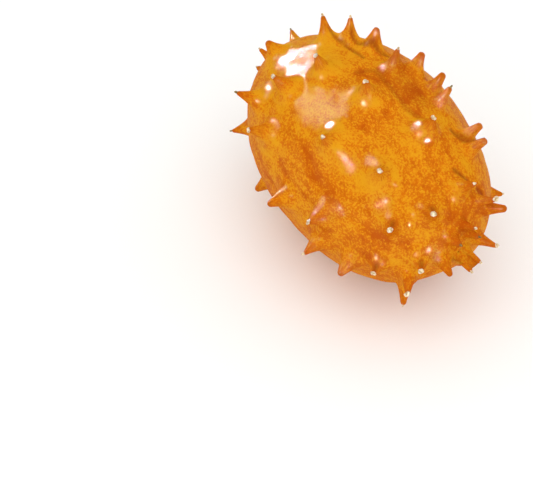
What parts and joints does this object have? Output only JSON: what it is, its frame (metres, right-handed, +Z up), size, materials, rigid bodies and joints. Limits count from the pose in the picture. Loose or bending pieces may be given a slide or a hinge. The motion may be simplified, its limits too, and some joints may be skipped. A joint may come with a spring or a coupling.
{
  "type": "horned melon",
  "caption": "Whole ripe horned melon (kiwano) with a short cut stalk: an egg-shaped orange fruit covered in blunt horns, lying on its side.",
  "frame": {"origin": "on the surface the fruit lies on, under the middle of its outer box", "axes": "+X along the fruit from the cut stalk to the blossom end, +Z up from the surface it lies on, +Y across it"},
  "size_m": [0.1334, 0.0896, 0.0868],
  "materials": {
    "rind": "waxy, soft gloss"
  },
  "bodies": {
    "root": {"melon": "rind"}
  },
  "joints": []
}
